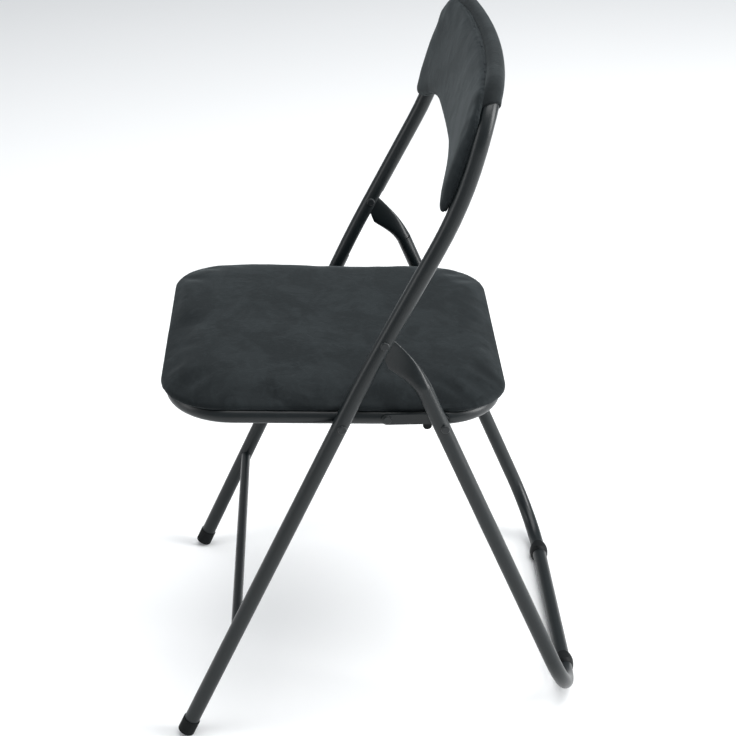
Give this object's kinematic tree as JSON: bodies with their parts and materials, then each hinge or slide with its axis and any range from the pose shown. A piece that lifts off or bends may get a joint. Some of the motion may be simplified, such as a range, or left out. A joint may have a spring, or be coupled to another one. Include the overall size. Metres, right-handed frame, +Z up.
{
  "type": "folding chair",
  "caption": "Folding chair of bent steel tube with a padded velvet seat and backrest, a U-shaped rear frame and stay links.",
  "frame": {"origin": "middle of the footprint, on the floor", "axes": "+Z up; the chair faces -Y; +X is the sitter's left"},
  "size_m": [0.4636, 0.5051, 0.8163],
  "materials": {
    "painted_steel": "satin powder coat, charcoal",
    "rivet_steel": "painted with the frame",
    "velvet": "short pile velvet, charcoal",
    "black_rubber": "matte",
    "black_plastic": "matte",
    "nylon": "satin",
    "plywood": "bare",
    "zinc_steel": "zinc plated"
  },
  "bodies": {
    "front_frame": {"front_frame_tube": "painted_steel", "front_crossbar": "painted_steel", "backrest_board": "plywood", "backrest_pad": "velvet", "backrest_screws": "zinc_steel", "backrest_sleeve": "velvet", "foot_cap_left": "black_rubber", "foot_cap_right": "black_rubber", "main_rivet_left": "rivet_steel", "main_rivet_right": "rivet_steel", "main_bushes_left": "nylon", "main_bushes_right": "nylon", "seat_rivet_left": "rivet_steel", "seat_rivet_right": "rivet_steel", "seat_spacer_left": "nylon", "seat_spacer_right": "nylon"},
    "rear_frame": {"rear_frame_tube": "painted_steel", "floor_glide_left": "black_plastic", "floor_glide_right": "black_plastic", "link_pin_left": "rivet_steel", "link_pin_right": "rivet_steel", "link_spacer_left": "nylon", "link_spacer_right": "nylon"},
    "seat": {"seat_frame_tube": "painted_steel", "seat_board": "plywood", "seat_pad": "velvet", "seat_screws": "zinc_steel"},
    "left_link": {"link_left": "painted_steel", "link_rivet_left": "rivet_steel", "link_bumper_left": "black_plastic"},
    "right_link": {"link_right": "painted_steel", "link_rivet_right": "rivet_steel", "link_bumper_right": "black_plastic"}
  },
  "joints": [
    {"name": "rear_fold", "type": "hinge", "parent": "front_frame", "child": "rear_frame", "pos_m": [0, 0.02338, 0.5269], "axis": [-1, 0, 0], "range_deg": [0, 45]},
    {"name": "seat_fold", "type": "hinge", "parent": "front_frame", "child": "seat", "pos_m": [0, -0.02898, 0.4246], "axis": [1, 0, 0], "range_deg": [0, 63.44]},
    {"name": "left_link_fold", "type": "hinge", "parent": "rear_frame", "child": "left_link", "pos_m": [0.2041, 0.0881, 0.4201], "axis": [-1, 0, 0], "range_deg": [0, 42.2]},
    {"name": "right_link_fold", "type": "hinge", "parent": "rear_frame", "child": "right_link", "pos_m": [-0.2041, 0.0881, 0.4201], "axis": [-1, 0, 0], "range_deg": [0, 42.2]}
  ],
  "couplings": [
    {"joint": "seat_fold", "follows": "rear_fold", "ratio": 1.4096},
    {"joint": "left_link_fold", "follows": "rear_fold", "ratio": 0.9377},
    {"joint": "right_link_fold", "follows": "rear_fold", "ratio": 0.9377}
  ]
}
